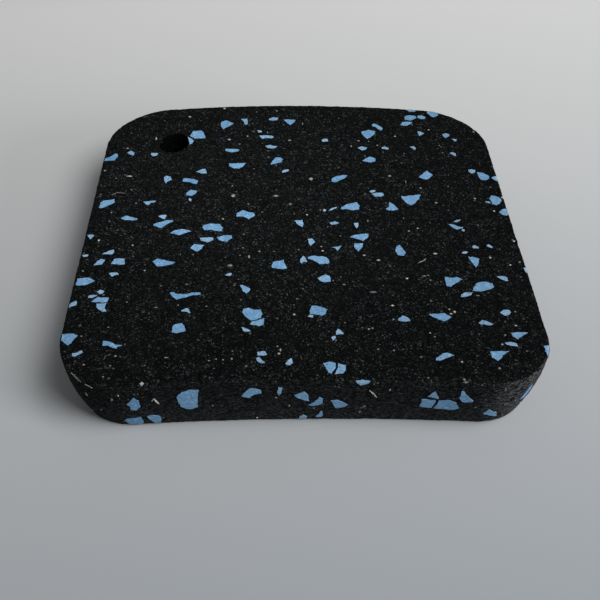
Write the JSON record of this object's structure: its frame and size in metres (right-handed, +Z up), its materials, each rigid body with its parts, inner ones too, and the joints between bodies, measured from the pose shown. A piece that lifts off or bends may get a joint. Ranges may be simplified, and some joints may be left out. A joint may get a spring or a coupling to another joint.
{
  "type": "rubber gym floor tile",
  "caption": "Hand-sized sample of gym floor tile: a rounded square slab of bonded black rubber crumb with blue flecks, hung by a hole through its corner.",
  "frame": {"origin": "middle of the slab's outline on its underside", "axes": "+Z up through the thickness, +Y towards the bulging far side, +X to the right; the hanging hole is in the far left corner, at -X and +Y"},
  "size_m": [0.1, 0.1036, 0.015],
  "materials": {
    "black_crumb_rubber": "matt, bonded crumb with light blue flecks"
  },
  "bodies": {
    "root": {"floor_tile": "black_crumb_rubber"}
  },
  "joints": []
}
